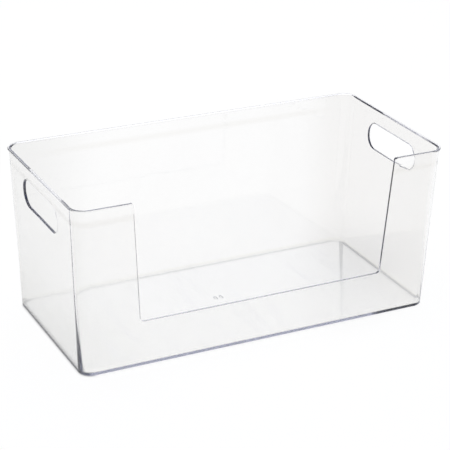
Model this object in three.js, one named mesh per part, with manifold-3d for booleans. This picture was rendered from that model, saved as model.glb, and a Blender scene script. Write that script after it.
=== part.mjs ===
// Clear open-front fridge bin: one injection-moulded shell, in millimetres, +Z up.
// The origin is at the middle of the underside. X runs along the bin, and -Y is the side with the dip.

import * as THREE from 'three';
import { mergeVertices } from 'three/addons/utils/BufferGeometryUtils.js';
import Module from 'manifold-3d';

// ---- driving dimensions ----
const LENGTH = 356;              // over the rim, along X
const WIDTH = 171;               // over the rim, along Y
const HEIGHT = 155;
const BASE_LENGTH = 341;         // outside of the walls at the floor
const BASE_WIDTH = 160;
const WALL = 2.4;
const FLOOR = 2.3;

const RIM_OVERHANG = 1.2;        // how far the rim stands out from the wall below it
const RIM_DEPTH = 1.2;           // height of the rim's outer band
const RIM_UNDERCUT = 0.1;        // slope of the rim's underside
const RIM_ROUNDING = 0.5;        // outer edges of the rim
const RIM_INNER_ROUNDING = 1.8;
const STEP_BELOW_RIM = 14;       // faint stacking step on the inside of the walls
const STEP_DEPTH = 0.15;
const STEP_RISE = 8;

const BASE_CORNER_RADIUS = 12;   // vertical corners, outside, at the floor
const TOP_CORNER_RADIUS = 13;    // the same corners at the top of the wall
const CORNER_TIGHTENING = 4;     // how much sharper the inner corners get on the way down to the floor
const TIGHTENING_HEIGHT = 95;    // the height where that starts
const BASE_FILLET = 1.4;         // outer edge between floor and walls
const INNER_FILLET = 1.3;

const DIP_WIDTH_TOP = 250;       // opening in the front wall, at the rim
const DIP_WIDTH_SILL = 235.4;
const SILL_HEIGHT = 43;          // top of the low front wall
const DIP_CORNER_RADIUS = 4;
const DIP_LIP_RADIUS = 3;        // where the dip's sides meet the rim

const HAND_HOLD_LENGTH = 81.2;
const HAND_HOLD_HEIGHT = 25.2;
const HAND_HOLD_CENTRE = 128.2;  // above the underside
const HAND_HOLD_CORNER = 12;

const MARK_HALF_WIDTH = 1.3;     // two oval moulding marks under the floor, set in, not proud
const MARK_HALF_LENGTH = 3;      // along Y
const MARK_DEPTH = 0.8;
const MARK_OFFSET_X = 2.8;       // to either side of the middle of the length
const MARK_Y = 9;

const CORNER_STEPS = 10;         // facets in each vertical corner
const ARC_STEPS = 4;             // facets in each quarter fillet
const CUT_STEPS = 8;             // facets in each rounded corner of a cut
const LOWER_RINGS = 6;           // spans of the inner wall below the stacking step
const CLEARANCE = 10;            // how far a cutting block reaches past the wall it cuts
const WELD_DISTANCE = 1e-4;      // points closer than this are one point

const wasm = await Module();
wasm.setup();

// ---- solids ----

const { lerp } = THREE.MathUtils;

function toManifold(geometry) {
  const bare = geometry.clone();
  bare.deleteAttribute('normal');
  bare.deleteAttribute('uv');
  const merged = mergeVertices(bare, WELD_DISTANCE);
  return new wasm.Manifold(new wasm.Mesh({
    numProp: 3,
    vertProperties: new Float32Array(merged.attributes.position.array),
    triVerts: new Uint32Array(merged.index.array),
  }));
}

function toGeometry(manifold) {
  const mesh = manifold.getMesh();
  const geometry = new THREE.BufferGeometry();
  geometry.setAttribute('position', new THREE.BufferAttribute(new Float32Array(mesh.vertProperties), 3));
  geometry.setIndex(new THREE.BufferAttribute(new Uint32Array(mesh.triVerts), 1));
  geometry.computeVertexNormals();
  return geometry;
}

// ---- the shell: one wall section swept round a rounded rectangle ----

const topOverhang = 2 * RIM_OVERHANG;
const wallTopLength = LENGTH - topOverhang;
const wallTopWidth = WIDTH - topOverhang;

// The corner of the outer or inner wall face at a height: the centre of its arc, and its radius.
function cornerAt(height, side) {
  const share = height / HEIGHT;
  const inset = side === 'inner' ? WALL : 0;
  const drop = Math.max(0, 1 - height / TIGHTENING_HEIGHT);
  const tightening = side === 'inner' ? CORNER_TIGHTENING * drop ** 2 : 0;
  const radius = lerp(BASE_CORNER_RADIUS, TOP_CORNER_RADIUS, share) - inset - tightening;
  const halfLength = lerp(BASE_LENGTH, wallTopLength, share) / 2 - inset;
  const halfWidth = lerp(BASE_WIDTH, wallTopWidth, share) / 2 - inset;
  return { radius, x: halfLength - radius, y: halfWidth - radius };
}

function quarterArc(side, centreReach, centreHeight, radius, startAngle, endAngle) {
  const points = [];
  for (let step = 0; step <= ARC_STEPS; step += 1) {
    const angle = lerp(startAngle, endAngle, step / ARC_STEPS);
    points.push({
      side,
      reach: centreReach + radius * Math.cos(angle),
      height: centreHeight + radius * Math.sin(angle),
    });
  }
  return points;
}

// Rings of the wall's section, each a reach out from the outer or inner wall face and a height.
// They run from the underside, up the outside, over the rim and down to the floor inside.
function wallSection() {
  const half = Math.PI / 2;
  const rimReach = RIM_OVERHANG - RIM_ROUNDING;
  const rimInnerReach = STEP_DEPTH + RIM_INNER_ROUNDING;
  const stepTop = HEIGHT - STEP_BELOW_RIM + STEP_RISE / 2;
  const stepFoot = stepTop - STEP_RISE;
  const floorEdge = FLOOR + INNER_FILLET;
  const lowerRings = [];
  for (let ring = 1; ring < LOWER_RINGS; ring += 1) {
    lowerRings.push({ side: 'inner', reach: 0, height: lerp(stepFoot, floorEdge, ring / LOWER_RINGS) });
  }
  return [
    ...quarterArc('outer', -BASE_FILLET, BASE_FILLET, BASE_FILLET, -half, 0),
    { side: 'outer', reach: 0, height: HEIGHT - RIM_DEPTH - RIM_UNDERCUT },
    { side: 'outer', reach: RIM_OVERHANG, height: HEIGHT - RIM_DEPTH },
    ...quarterArc('outer', rimReach, HEIGHT - RIM_ROUNDING, RIM_ROUNDING, 0, half),
    ...quarterArc('inner', rimInnerReach, HEIGHT - RIM_INNER_ROUNDING, RIM_INNER_ROUNDING, half, 2 * half),
    { side: 'inner', reach: STEP_DEPTH, height: stepTop },
    { side: 'inner', reach: 0, height: stepFoot },
    ...lowerRings,
    ...quarterArc('inner', -INNER_FILLET, floorEdge, INNER_FILLET, 0, -half),
  ];
}

function shellBody() {
  const rings = wallSection();
  const rows = [
    new THREE.Vector2(0, 0),
    ...rings.map((ring) => new THREE.Vector2(BASE_CORNER_RADIUS, ring.height)),
    new THREE.Vector2(0, FLOOR),
  ];
  const columnsPerCorner = CORNER_STEPS + 1;
  const columns = 4 * columnsPerCorner;
  const geometry = new THREE.LatheGeometry(rows, columns);
  const position = geometry.attributes.position;

  for (let index = 0; index < position.count; index += 1) {
    const row = index % rows.length;
    const column = Math.floor(index / rows.length) % columns;
    const quadrant = Math.floor(column / columnsPerCorner);
    const angle = (quadrant + (column % columnsPerCorner) / CORNER_STEPS) * (Math.PI / 2);
    const height = rows[row].y;
    if (row === 0 || row === rows.length - 1) {
      position.setXYZ(index, 0, 0, height);
    } else {
      const { side, reach } = rings[row - 1];
      const corner = cornerAt(height, side);
      const signX = quadrant === 0 || quadrant === 3 ? 1 : -1;
      const signY = quadrant < 2 ? 1 : -1;
      position.setXYZ(
        index,
        signX * corner.x + (corner.radius + reach) * Math.cos(angle),
        signY * corner.y + (corner.radius + reach) * Math.sin(angle),
        height,
      );
    }
  }
  return toManifold(geometry);
}

// ---- cuts ----

// A block of the outline's shape, drawn in X and Z, that runs along Y from yStart to yEnd.
function blockAlongY(shape, yStart, yEnd) {
  const geometry = new THREE.ExtrudeGeometry(shape, {
    depth: yEnd - yStart,
    bevelEnabled: false,
    curveSegments: CUT_STEPS,
  });
  geometry.rotateX(Math.PI / 2);
  geometry.translate(0, yEnd, 0);
  return toManifold(geometry);
}

// The dip in the front wall: sides that lean out, small corners at the sill and eased lips at the rim.
function dipCut() {
  const topHalf = DIP_WIDTH_TOP / 2;
  const sillHalf = DIP_WIDTH_SILL / 2;
  const lean = (topHalf - sillHalf) / (HEIGHT - SILL_HEIGHT);
  const cornerLean = lean * DIP_CORNER_RADIUS;
  const above = HEIGHT + CLEARANCE;
  const shape = new THREE.Shape();
  shape.moveTo(-topHalf - DIP_LIP_RADIUS, above);
  shape.lineTo(-topHalf - DIP_LIP_RADIUS, HEIGHT);
  shape.quadraticCurveTo(-topHalf, HEIGHT, -topHalf + lean * DIP_LIP_RADIUS, HEIGHT - DIP_LIP_RADIUS);
  shape.lineTo(-sillHalf - cornerLean, SILL_HEIGHT + DIP_CORNER_RADIUS);
  shape.quadraticCurveTo(-sillHalf, SILL_HEIGHT, -sillHalf + DIP_CORNER_RADIUS, SILL_HEIGHT);
  shape.lineTo(sillHalf - DIP_CORNER_RADIUS, SILL_HEIGHT);
  shape.quadraticCurveTo(sillHalf, SILL_HEIGHT, sillHalf + cornerLean, SILL_HEIGHT + DIP_CORNER_RADIUS);
  shape.lineTo(topHalf - lean * DIP_LIP_RADIUS, HEIGHT - DIP_LIP_RADIUS);
  shape.quadraticCurveTo(topHalf, HEIGHT, topHalf + DIP_LIP_RADIUS, HEIGHT);
  shape.lineTo(topHalf + DIP_LIP_RADIUS, above);
  return blockAlongY(shape, -WIDTH / 2 - CLEARANCE, -WIDTH / 2 + CLEARANCE);
}

// Both hand-holds in one cut: a rounded slot, drawn in Y and Z, that runs the whole length of the bin.
function handHoldCut() {
  const halfLength = HAND_HOLD_LENGTH / 2;
  const halfHeight = HAND_HOLD_HEIGHT / 2;
  const r = HAND_HOLD_CORNER;
  const shape = new THREE.Shape();
  shape.moveTo(-halfLength + r, -halfHeight);
  shape.lineTo(halfLength - r, -halfHeight);
  shape.absarc(halfLength - r, -halfHeight + r, r, -Math.PI / 2, 0);
  shape.absarc(halfLength - r, halfHeight - r, r, 0, Math.PI / 2);
  shape.lineTo(-halfLength + r, halfHeight);
  shape.absarc(-halfLength + r, halfHeight - r, r, Math.PI / 2, Math.PI);
  shape.absarc(-halfLength + r, -halfHeight + r, r, Math.PI, 1.5 * Math.PI);
  const geometry = new THREE.ExtrudeGeometry(shape, {
    depth: LENGTH + 2 * CLEARANCE,
    bevelEnabled: false,
    curveSegments: CUT_STEPS,
  });
  geometry.rotateX(Math.PI / 2);
  geometry.rotateZ(Math.PI / 2);
  geometry.translate(-LENGTH / 2 - CLEARANCE, 0, HAND_HOLD_CENTRE);
  return toManifold(geometry);
}

// The two shallow oval dimples that the moulding leaves near the middle of the underside.
function markDimples() {
  const dimples = [-MARK_OFFSET_X, MARK_OFFSET_X].map((x) => {
    const geometry = new THREE.CylinderGeometry(1, 1, 2 * MARK_DEPTH, 4 * CUT_STEPS);
    geometry.rotateX(Math.PI / 2);
    geometry.scale(MARK_HALF_WIDTH, MARK_HALF_LENGTH, 1);
    geometry.translate(x, MARK_Y, 0);
    return toManifold(geometry);
  });
  return wasm.Manifold.union(dimples);
}

function binShell() {
  const solid = shellBody().subtract(dipCut()).subtract(handHoldCut()).subtract(markDimples());
  const clearPlastic = new THREE.MeshStandardMaterial({
    color: 0xeef1f2,
    roughness: 0.08,
    metalness: 0,
    transparent: true,
    opacity: 0.35,
  });
  const mesh = new THREE.Mesh(toGeometry(solid), clearPlastic);
  mesh.name = 'bin_shell';
  return mesh;
}

const fridgeBin = new THREE.Group();
fridgeBin.add(binShell());

export default fridgeBin;
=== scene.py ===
"""Clear open-front fridge bin on a pale studio floor, in metres, +Z up, with the dip towards -Y."""

import math

import bmesh
import bpy
from mathutils import Matrix, Vector


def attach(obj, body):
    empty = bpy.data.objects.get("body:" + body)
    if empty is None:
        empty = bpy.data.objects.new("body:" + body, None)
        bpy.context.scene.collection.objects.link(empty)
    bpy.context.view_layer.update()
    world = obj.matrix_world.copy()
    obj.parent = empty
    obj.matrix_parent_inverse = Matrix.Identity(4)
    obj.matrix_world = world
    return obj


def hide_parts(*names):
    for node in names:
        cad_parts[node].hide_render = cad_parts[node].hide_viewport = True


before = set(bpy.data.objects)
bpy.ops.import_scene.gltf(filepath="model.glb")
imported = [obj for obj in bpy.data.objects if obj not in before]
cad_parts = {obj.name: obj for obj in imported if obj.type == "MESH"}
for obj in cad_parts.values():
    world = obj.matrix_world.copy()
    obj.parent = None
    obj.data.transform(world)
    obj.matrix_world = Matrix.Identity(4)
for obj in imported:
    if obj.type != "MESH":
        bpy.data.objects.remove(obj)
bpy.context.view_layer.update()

# ---- driving dimensions: the same moulding as the CAD shell, with finer arcs ----

MM = 0.001
LENGTH = 356 * MM
WIDTH = 171 * MM
HEIGHT = 155 * MM
BASE_LENGTH = 341 * MM
BASE_WIDTH = 160 * MM
WALL = 2.4 * MM
FLOOR = 2.3 * MM

RIM_OVERHANG = 1.2 * MM
RIM_DEPTH = 1.2 * MM
RIM_UNDERCUT = 0.1 * MM
RIM_ROUNDING = 0.5 * MM
RIM_INNER_ROUNDING = 1.8 * MM
STEP_BELOW_RIM = 14 * MM
STEP_DEPTH = 0.15 * MM
STEP_RISE = 8 * MM
STEP_RINGS = 8

BASE_CORNER_RADIUS = 12 * MM
TOP_CORNER_RADIUS = 13 * MM
INNER_CORNER_TIGHTENING = 4.0 * MM
TIGHTENING_HEIGHT = 95 * MM
LOWER_RINGS = 12
BASE_FILLET = 1.4 * MM
INNER_FILLET = 1.3 * MM

DIP_WIDTH_TOP = 250 * MM
DIP_WIDTH_SILL = 235.4 * MM
SILL_HEIGHT = 43 * MM
DIP_CORNER_RADIUS = 4 * MM
DIP_LIP_RADIUS = 3 * MM

HAND_HOLD_LENGTH = 81.2 * MM
HAND_HOLD_HEIGHT = 25.2 * MM
HAND_HOLD_CENTRE = 128.2 * MM
HAND_HOLD_CORNER = 12 * MM

MARK_HALF_WIDTH = 1.3 * MM
MARK_HALF_LENGTH = 3 * MM
MARK_DEPTH = 0.8 * MM
MARK_OFFSET_X = 2.8 * MM
MARK_Y = 9 * MM
MARK_STEPS = 32

CORNER_STEPS = 24
ARC_STEPS = 8
CUT_STEPS = 20
EDGE_EASE = 0.35 * MM
HAND_HOLD_EASE = 1.0 * MM
RIM_CLEARANCE = 3.7 * MM
CUT_EDGE_ANGLE = math.radians(60)
SHARP_ANGLE = math.radians(50)
WELD_DISTANCE = 0.001 * MM
CUT_CLEARANCE = 10 * MM

# ---- small helpers ----


def mix(start, end, share):
    return start + (end - start) * share


def arc(centre_in, centre_z, radius, start_degrees, end_degrees, steps=ARC_STEPS):
    """Points (distance out from the wall face, height) along an arc of the wall's section."""
    points = []
    for step in range(steps + 1):
        angle = math.radians(mix(start_degrees, end_degrees, step / steps))
        points.append((centre_in + radius * math.cos(angle), centre_z + radius * math.sin(angle)))
    return points


# ---- the shell ----


def wall_faces(height, side):
    """Half length, half width and corner radius of the outer or inner wall face at a height."""
    share = height / HEIGHT
    half_length = mix(BASE_LENGTH, LENGTH - 2 * RIM_OVERHANG, share) / 2
    half_width = mix(BASE_WIDTH, WIDTH - 2 * RIM_OVERHANG, share) / 2
    if side == "outer":
        return half_length, half_width, mix(BASE_CORNER_RADIUS, TOP_CORNER_RADIUS, share)
    radius = mix(BASE_CORNER_RADIUS, TOP_CORNER_RADIUS, share) - WALL
    drop = max(0, 1 - height / TIGHTENING_HEIGHT)
    return half_length - WALL, half_width - WALL, radius - INNER_CORNER_TIGHTENING * drop ** 2


def wall_section():
    """The wall's section as (side, distance out from that side's face, height), in rings from the
    underside, up the outside, over the rim and down to the floor inside."""
    step_top = HEIGHT - STEP_BELOW_RIM + STEP_RISE / 2
    outside = [
        *arc(-BASE_FILLET, BASE_FILLET, BASE_FILLET, -90, 0),
        (0, HEIGHT - RIM_DEPTH - RIM_UNDERCUT),
        (RIM_OVERHANG, HEIGHT - RIM_DEPTH),
        *arc(RIM_OVERHANG - RIM_ROUNDING, HEIGHT - RIM_ROUNDING, RIM_ROUNDING, 0, 90),
    ]
    inner_edge = RIM_INNER_ROUNDING + STEP_DEPTH
    lower_top = step_top - STEP_RISE
    lower_end = FLOOR + INNER_FILLET
    lower_heights = [mix(lower_top, lower_end, i / LOWER_RINGS) for i in range(1, LOWER_RINGS)]
    step = []
    for i in range(STEP_RINGS + 1):
        share = i / STEP_RINGS
        depth = STEP_DEPTH * (1 + math.cos(math.pi * share)) / 2
        step.append((depth, step_top - STEP_RISE * share))
    inside = [
        *arc(inner_edge, HEIGHT - RIM_INNER_ROUNDING, RIM_INNER_ROUNDING, 90, 180),
        *step,
        *((0, height) for height in lower_heights),
        *arc(-INNER_FILLET, FLOOR + INNER_FILLET, INNER_FILLET, 0, -90),
    ]
    return [("outer", *point) for point in outside] + [("inner", *point) for point in inside]


def shell_ring(bm, side, reach, height):
    """One ring of points round the bin, at a distance out from the wall face."""
    half_length, half_width, radius = wall_faces(height, side)
    ring = []
    for quadrant in range(4):
        sign_x = 1 if quadrant in (0, 3) else -1
        sign_y = 1 if quadrant in (0, 1) else -1
        for step in range(CORNER_STEPS + 1):
            angle = (quadrant + step / CORNER_STEPS) * math.pi / 2
            ring.append(bm.verts.new((
                sign_x * (half_length - radius) + (radius + reach) * math.cos(angle),
                sign_y * (half_width - radius) + (radius + reach) * math.sin(angle),
                height,
            )))
    return ring


def mesh_object(name, bm):
    mesh = bpy.data.meshes.new(name)
    bm.normal_update()
    bm.to_mesh(mesh)
    bm.free()
    thing = bpy.data.objects.new(name, mesh)
    bpy.context.scene.collection.objects.link(thing)
    return thing


def uncut_shell():
    bm = bmesh.new()
    rings = [shell_ring(bm, *point) for point in wall_section()]
    count = len(rings[0])
    for lower, upper in zip(rings, rings[1:]):
        for i in range(count):
            j = (i + 1) % count
            bm.faces.new((lower[i], lower[j], upper[j], upper[i]))
    bm.faces.new(list(reversed(rings[0])))
    bm.faces.new(rings[-1])
    bmesh.ops.recalc_face_normals(bm, faces=bm.faces)
    return mesh_object("bin_body", bm)


# ---- the cuts ----


def rounded_outline(corners):
    """An outline through corners given as (u, v, radius), each one rounded by a true arc."""
    outline = []
    count = len(corners)
    for i, (u, v, radius) in enumerate(corners):
        here = Vector((u, v))
        if radius == 0:
            outline.append(here)
            continue
        before = (Vector(corners[i - 1][:2]) - here).normalized()
        after = (Vector(corners[(i + 1) % count][:2]) - here).normalized()
        half_angle = before.angle(after) / 2
        centre = here + (before + after).normalized() * radius / math.sin(half_angle)
        tangent = radius / math.tan(half_angle)
        start = here + before * tangent - centre
        turn = start.angle_signed(here + after * tangent - centre)
        for step in range(CUT_STEPS + 1):
            outline.append(centre + Matrix.Rotation(-turn * step / CUT_STEPS, 2) @ start)
    return outline


def prism(name, outline, place, start, end):
    """A closed block: the outline, placed by place(u, v, along), run from start to end."""
    bm = bmesh.new()
    near = [bm.verts.new(place(u, v, start)) for u, v in outline]
    far = [bm.verts.new(place(u, v, end)) for u, v in outline]
    count = len(outline)
    for i in range(count):
        j = (i + 1) % count
        bm.faces.new((near[i], near[j], far[j], far[i]))
    bm.faces.new(list(reversed(near)))
    bm.faces.new(far)
    bmesh.ops.recalc_face_normals(bm, faces=bm.faces)
    return mesh_object(name, bm)


def dip_cutter():
    top = DIP_WIDTH_TOP / 2
    sill = DIP_WIDTH_SILL / 2
    above = HEIGHT + CUT_CLEARANCE
    corners = [
        (-top - CUT_CLEARANCE, above, 0),
        (-top - CUT_CLEARANCE, HEIGHT, 0),
        (-top, HEIGHT, DIP_LIP_RADIUS),
        (-sill, SILL_HEIGHT, DIP_CORNER_RADIUS),
        (sill, SILL_HEIGHT, DIP_CORNER_RADIUS),
        (top, HEIGHT, DIP_LIP_RADIUS),
        (top + CUT_CLEARANCE, HEIGHT, 0),
        (top + CUT_CLEARANCE, above, 0),
    ]
    return prism(
        "dip_cutter", rounded_outline(corners), lambda u, v, along: (u, along, v),
        -WIDTH / 2 - CUT_CLEARANCE, -WIDTH / 2 + CUT_CLEARANCE,
    )


def hand_hold_cutter():
    """Both hand-holds in one cut, a rounded slot that runs the whole length of the bin."""
    half_length = HAND_HOLD_LENGTH / 2
    low = HAND_HOLD_CENTRE - HAND_HOLD_HEIGHT / 2
    high = HAND_HOLD_CENTRE + HAND_HOLD_HEIGHT / 2
    corners = [
        (-half_length, low, HAND_HOLD_CORNER),
        (half_length, low, HAND_HOLD_CORNER),
        (half_length, high, HAND_HOLD_CORNER),
        (-half_length, high, HAND_HOLD_CORNER),
    ]
    return prism(
        "hand_hold_cutter", rounded_outline(corners), lambda u, v, along: (along, u, v),
        -LENGTH, LENGTH,
    )


def mark_cutter(centre_x):
    """One of the two shallow oval marks under the floor."""
    outline = []
    for step in range(MARK_STEPS):
        angle = 2 * math.pi * step / MARK_STEPS
        u = centre_x + MARK_HALF_WIDTH * math.cos(angle)
        v = MARK_Y + MARK_HALF_LENGTH * math.sin(angle)
        outline.append((u, v))
    return prism(
        "mark_cutter", outline, lambda u, v, along: (u, v, along), -MARK_DEPTH, MARK_DEPTH,
    )


def apply_modifiers(thing):
    """Swaps the object's mesh for the one its modifiers make, and drops the modifiers."""
    graph = bpy.context.evaluated_depsgraph_get()
    made = bpy.data.meshes.new_from_object(thing.evaluated_get(graph))
    thing.modifiers.clear()
    thing.data = made


def cut(thing, cutter):
    boolean = thing.modifiers.new("cut", "BOOLEAN")
    boolean.operation = "DIFFERENCE"
    boolean.solver = "EXACT"
    boolean.object = cutter
    apply_modifiers(thing)
    bpy.data.objects.remove(cutter)


def ease_cut_edges(thing):
    """Rounds the sharp edges that the cuts leave, as the mould does."""
    bm = bmesh.new()
    bm.from_mesh(thing.data)
    bmesh.ops.remove_doubles(bm, verts=bm.verts, dist=WELD_DISTANCE)
    bmesh.ops.dissolve_degenerate(bm, edges=bm.edges, dist=WELD_DISTANCE)
    weight = bm.edges.layers.float.new("bevel_weight_edge")
    for edge in bm.edges:
        is_low = all(vert.co.z < HEIGHT - RIM_CLEARANCE for vert in edge.verts)
        if is_low and edge.is_manifold and edge.calc_face_angle() > CUT_EDGE_ANGLE:
            middle = (edge.verts[0].co + edge.verts[1].co) / 2
            half_length = wall_faces(middle.z, "outer")[0]
            outside_an_end = middle.z > SILL_HEIGHT and abs(middle.x) > half_length - WALL / 2
            edge[weight] = 1 if outside_an_end else EDGE_EASE / HAND_HOLD_EASE
    bm.to_mesh(thing.data)
    bm.free()
    bevel = thing.modifiers.new("ease", "BEVEL")
    bevel.limit_method = "WEIGHT"
    bevel.width = HAND_HOLD_EASE
    bevel.segments = 3
    bevel.use_clamp_overlap = False
    bevel.harden_normals = False
    apply_modifiers(thing)


def smooth(thing):
    thing.data.shade_smooth()
    thing.data.set_sharp_from_angle(angle=SHARP_ANGLE)
    flatten = thing.modifiers.new("flat_faces", "WEIGHTED_NORMAL")
    flatten.keep_sharp = True
    flatten.weight = 100
    apply_modifiers(thing)


# ---- material ----

FULL_CLOUD = (0.988, 0.986, 0.982, 1)
THIN_CLOUD = (0.998, 0.997, 0.993, 1)
WITNESS_TINT = (0.93, 0.92, 0.90, 1)
# Painted shade: the next three colours darken the two end walls and the bin's floor.
LEFT_END_PAINTED_SHADE = (0.885, 0.884, 0.875, 1)
RIGHT_END_PAINTED_SHADE = (0.930, 0.922, 0.912, 1)
FLOOR_PAINTED_SHADE = (0.88, 0.875, 0.79, 1)
SPECK_TINT = (0.80, 0.79, 0.77, 1)
STREAK_TINT = (0.90, 0.895, 0.89, 1)
DEPTH_COLOUR = (0.28, 0.3, 0.46, 1)
DEPTH_DENSITY = 6.5
WEAR_REACH = 1 * MM
RELIEF = 0.1 * MM


class Pattern:
    """Short names for the value nodes that the materials' patterns are made of."""

    def __init__(self, material):
        material.use_nodes = True
        self.nodes = material.node_tree.nodes
        self.link = material.node_tree.links.new
        self.place = self.nodes.new("ShaderNodeTexCoord").outputs["Object"]

    def feed(self, socket, source):
        if isinstance(source, bpy.types.NodeSocket):
            self.link(source, socket)
        else:
            socket.default_value = source

    def maths(self, operation, first, second=0):
        node = self.nodes.new("ShaderNodeMath")
        node.operation = operation
        self.feed(node.inputs[0], first)
        self.feed(node.inputs[1], second)
        return node.outputs[0]

    def product(self, first, second):
        return self.maths("MULTIPLY", first, second)

    def vector_maths(self, operation, first, second=(0, 0, 0)):
        node = self.nodes.new("ShaderNodeVectorMath")
        node.operation = operation
        self.feed(node.inputs[0], first)
        self.feed(node.inputs[1], second)
        return node.outputs["Value" if operation == "LENGTH" else "Vector"]

    def axis(self, name):
        split = self.nodes.new("ShaderNodeSeparateXYZ")
        self.link(self.place, split.inputs[0])
        return split.outputs[name]

    def noise(self, scale, detail=2, stretch=(1, 1, 1), turn=(0, 0, 0)):
        """Soft noise from 0 to 1, with a number of features to the metre."""
        mapping = self.nodes.new("ShaderNodeMapping")
        mapping.inputs["Scale"].default_value = stretch
        mapping.inputs["Rotation"].default_value = turn
        self.link(self.place, mapping.inputs["Vector"])
        noise = self.nodes.new("ShaderNodeTexNoise")
        noise.inputs["Scale"].default_value = scale
        noise.inputs["Detail"].default_value = detail
        self.link(mapping.outputs[0], noise.inputs["Vector"])
        return noise.outputs["Fac"]

    def ramp(self, value, from_low, from_high, to_low, to_high):
        """Carries a value smoothly from one range to another, and holds it at the ends."""
        node = self.nodes.new("ShaderNodeMapRange")
        node.interpolation_type = "SMOOTHSTEP"
        self.link(value, node.inputs["Value"])
        node.inputs["From Min"].default_value = from_low
        node.inputs["From Max"].default_value = from_high
        node.inputs["To Min"].default_value = to_low
        node.inputs["To Max"].default_value = to_high
        return node.outputs["Result"]

    def blend(self, share, first, second):
        """A colour between two, by a share from 0 to 1. The node's sockets 6 and 7 are its colours."""
        node = self.nodes.new("ShaderNodeMix")
        node.data_type = "RGBA"
        self.feed(node.inputs["Factor"], share)
        self.feed(node.inputs[6], first)
        self.feed(node.inputs[7], second)
        return node.outputs[2]

    def band(self, value, centre, half_width):
        """1 in the middle of a band, falling softly to 0 at its edges."""
        away = self.maths("ABSOLUTE", self.maths("SUBTRACT", value, centre))
        return self.ramp(away, 0, half_width, 1, 0)


def plastic_colour_and_painted_shade(pattern):
    """Nearly clear, with slow flow clouds, a faint witness band, specks and streaks on the floor, and
    painted shade that darkens the end walls and the floor.
    """
    length_way = pattern.axis("X")
    across = pattern.axis("Y")
    height = pattern.axis("Z")
    clouds = pattern.ramp(pattern.noise(scale=14, detail=3), 0.32, 0.68, 0, 1)
    tint_and_shade = pattern.blend(clouds, FULL_CLOUD, THIN_CLOUD)
    witness = pattern.band(height, 141.5 * MM, 5 * MM)
    tint_and_shade = pattern.blend(pattern.product(witness, 0.6), tint_and_shade, WITNESS_TINT)

    # Painted shade: the left end is darkened, most in its back wall and towards its foot.
    behind_front = pattern.ramp(across, -76 * MM, -66 * MM, 0, 1)
    left_end = pattern.ramp(length_way, -170 * MM, -80 * MM, 1, 0)
    in_back_wall = pattern.ramp(across, 66 * MM, 76 * MM, 0, 1)
    near_foot = pattern.ramp(height, 10 * MM, 90 * MM, 1, 0.15)
    left_shade_share = pattern.product(pattern.maths("MAXIMUM", in_back_wall, near_foot), behind_front)
    tint_and_shade = pattern.blend(pattern.product(left_end, left_shade_share), tint_and_shade, LEFT_END_PAINTED_SHADE)
    # Painted shade: the right end is darkened.
    right_end = pattern.ramp(length_way, 115 * MM, 168 * MM, 0, 1)
    tint_and_shade = pattern.blend(pattern.product(right_end, behind_front), tint_and_shade, RIGHT_END_PAINTED_SHADE)

    # Painted shade: the bin's floor is darkened and warmed; the same floor mask also carries the real
    # specks and streaks below.
    on_floor = pattern.ramp(height, 4 * MM, 6 * MM, 1, 0.15)
    tint_and_shade = pattern.blend(pattern.product(on_floor, 0.25), tint_and_shade, FLOOR_PAINTED_SHADE)
    specks = pattern.ramp(pattern.noise(scale=420, detail=1), 0.70, 0.78, 0, 0.6)
    tint_and_shade = pattern.blend(pattern.product(specks, on_floor), tint_and_shade, SPECK_TINT)
    lengthwise = pattern.noise(scale=90, detail=3, stretch=(1, 0.12, 1))
    streaks = pattern.ramp(lengthwise, 0.5, 0.72, 0, 0.35)
    return pattern.blend(pattern.product(streaks, on_floor), tint_and_shade, STREAK_TINT)


def clear_plastic():
    material = bpy.data.materials.new("clear_plastic")
    pattern = Pattern(material)
    shader = pattern.nodes["Principled BSDF"]
    shader.inputs["Transmission Weight"].default_value = 1
    shader.inputs["IOR"].default_value = 1.57
    pattern.link(plastic_colour_and_painted_shade(pattern), shader.inputs["Base Color"])

    haze = pattern.ramp(pattern.noise(scale=26, detail=4), 0.3, 0.7, 0.035, 0.065)
    height = pattern.axis("Z")
    rim_wear = pattern.ramp(height, HEIGHT - WEAR_REACH, HEIGHT, 0, 0.02)
    foot_wear = pattern.ramp(height, 0, WEAR_REACH, 0.01, 0)
    roughness = pattern.maths("ADD", haze, pattern.maths("ADD", rim_wear, foot_wear))
    pattern.link(roughness, shader.inputs["Roughness"])

    flow = pattern.noise(scale=22)
    slanted = pattern.noise(scale=120, stretch=(1, 14, 14), turn=(0.3, 0.5, 0.7))
    scuffs = pattern.ramp(slanted, 0.62, 0.75, 0, 0.02)
    bump = pattern.nodes.new("ShaderNodeBump")
    bump.inputs["Strength"].default_value = 1
    bump.inputs["Distance"].default_value = RELIEF
    pattern.link(pattern.maths("ADD", flow, scuffs), bump.inputs["Height"])
    pattern.link(bump.outputs[0], shader.inputs["Normal"])

    absorb = pattern.nodes.new("ShaderNodeVolumeAbsorption")
    absorb.inputs["Color"].default_value = DEPTH_COLOUR
    absorb.inputs["Density"].default_value = DEPTH_DENSITY
    pattern.link(absorb.outputs[0], pattern.nodes["Material Output"].inputs["Volume"])
    return material


# ---- studio ----

FLOOR_SIZE = 14
FLOOR_GAP = 0.4 * MM
FLOOR_GREY = (0.055, 0.055, 0.055, 1)
FLOOR_GLOW = 0.97
SHADED_GLOW = 0.87
SHADE_PLACE = (0.150, 0.022, 0)
SHADE_TURN = (0, 0, math.radians(54))
SHADE_HALF_SIZE = (0.17, 0.08, 1)
CONTACT_INSET = 3 * MM
CONTACT_REACH = 4.5 * MM
HORIZON_COLOUR = (0.84, 0.855, 0.89, 1)
UPPER_COLOUR = (0.01, 0.03, 0.14, 1)
LIGHT_BOUNCES = 64


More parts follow.
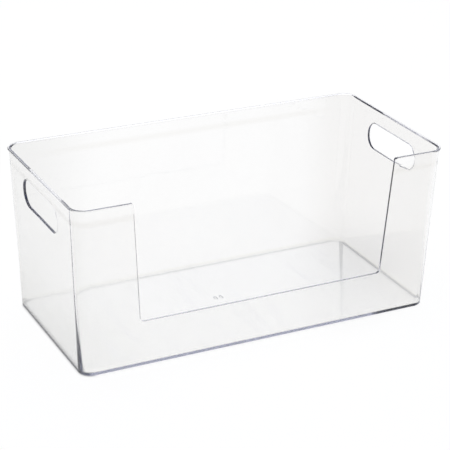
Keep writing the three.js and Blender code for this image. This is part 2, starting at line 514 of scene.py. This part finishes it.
def contact_shade(pattern):
    """A share from 0 to 1, highest just inside the outline of the bin's foot, on its left side."""
    corner = (BASE_LENGTH / 2 - BASE_CORNER_RADIUS, BASE_WIDTH / 2 - BASE_CORNER_RADIUS, 0)
    from_middle = pattern.vector_maths("ABSOLUTE", pattern.place)
    past_corner = pattern.vector_maths("SUBTRACT", from_middle, corner)
    reach = pattern.vector_maths("LENGTH", pattern.vector_maths("MAXIMUM", past_corner))
    line = pattern.band(reach, BASE_CORNER_RADIUS - CONTACT_INSET, CONTACT_REACH)
    strength = pattern.ramp(pattern.axis("X"), -164 * MM, -154 * MM, 0.8, 0.12)
    return pattern.product(line, strength)


def floor_glow(pattern):
    """The floor's brightness, with a soft oval shade under the right end and a contact shade."""
    oval = pattern.nodes.new("ShaderNodeMapping")
    oval.vector_type = "TEXTURE"
    oval.inputs["Location"].default_value = SHADE_PLACE
    oval.inputs["Rotation"].default_value = SHADE_TURN
    oval.inputs["Scale"].default_value = SHADE_HALF_SIZE
    pattern.link(pattern.place, oval.inputs["Vector"])
    away = pattern.vector_maths("LENGTH", oval.outputs[0])
    glow = pattern.ramp(away, 0, 1, SHADED_GLOW, FLOOR_GLOW)
    lit_share = pattern.maths("SUBTRACT", 1, contact_shade(pattern))
    return pattern.product(glow, lit_share)


def studio_floor():
    bpy.ops.mesh.primitive_plane_add(size=FLOOR_SIZE, location=(0, 0, -FLOOR_GAP))
    floor = bpy.context.object
    floor.name = "studio_floor"
    material = bpy.data.materials.new("floor_paint")
    pattern = Pattern(material)
    shader = pattern.nodes["Principled BSDF"]
    shader.inputs["Base Color"].default_value = FLOOR_GREY
    shader.inputs["Roughness"].default_value = 0.9
    shader.inputs["Specular IOR Level"].default_value = 0
    shader.inputs["Emission Color"].default_value = (1, 1, 1, 1)
    pattern.link(floor_glow(pattern), shader.inputs["Emission Strength"])
    floor.data.materials.append(material)


def studio_surround():
    """A dim studio that is bright only near the horizon."""
    world = bpy.data.worlds.new("studio")
    bpy.context.scene.world = world
    world.use_nodes = True
    nodes = world.node_tree.nodes
    link = world.node_tree.links.new
    direction = nodes.new("ShaderNodeTexCoord").outputs["Generated"]
    split = nodes.new("ShaderNodeSeparateXYZ")
    ramp = nodes.new("ShaderNodeValToRGB")
    link(direction, split.inputs[0])
    link(split.outputs["Z"], ramp.inputs[0])
    low, high = ramp.color_ramp.elements
    low.position = 0.20
    low.color = HORIZON_COLOUR
    high.position = 0.34
    high.color = UPPER_COLOUR
    link(ramp.outputs[0], nodes["Background"].inputs["Color"])


def soft_light(name, place, aim, size, power):
    light = bpy.data.lights.new(name, "AREA")
    light.shape = "SQUARE"
    light.size = size
    light.energy = power
    lamp = bpy.data.objects.new(name, light)
    lamp.location = place
    lamp.rotation_euler = (Vector(aim) - Vector(place)).to_track_quat("-Z", "Y").to_euler()
    bpy.context.scene.collection.objects.link(lamp)


def camera():
    place = Vector((-0.6012, -1.1973, 0.6692))
    ahead = Vector((0.4112, 0.8175, -0.4032))
    roll = math.radians(1.08)
    data = bpy.data.cameras.new("camera")
    data.lens = 129.0
    data.sensor_width = 36
    thing = bpy.data.objects.new("camera", data)
    turn = ahead.to_track_quat("-Z", "Y").to_matrix() @ Matrix.Rotation(roll, 3, "Z")
    thing.matrix_world = Matrix.Translation(place) @ turn.to_4x4()
    bpy.context.scene.collection.objects.link(thing)
    bpy.context.scene.camera = thing


def clear_picture():
    """Plain colours, and enough bounces for light to get along the walls and out again."""
    scene = bpy.context.scene
    scene.view_settings.view_transform = "Standard"
    scene.cycles.max_bounces = LIGHT_BOUNCES
    scene.cycles.transmission_bounces = LIGHT_BOUNCES
    scene.cycles.glossy_bounces = LIGHT_BOUNCES


bin_body = uncut_shell()
cut(bin_body, dip_cutter())
cut(bin_body, hand_hold_cutter())
for centre_x in (-MARK_OFFSET_X, MARK_OFFSET_X):
    cut(bin_body, mark_cutter(centre_x))
ease_cut_edges(bin_body)
smooth(bin_body)
bin_body.data.materials.append(clear_plastic())
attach(bin_body, "root")
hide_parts("bin_shell")

studio_floor()
studio_surround()
soft_light("overhead", place=(0, 0.3, 1.6), aim=(0, 0, 0), size=2.2, power=20)
soft_light("far_window", place=(1.0, 2.4, 1.15), aim=(0, 0, 0.1), size=1.6, power=8.5)
camera()
clear_picture()
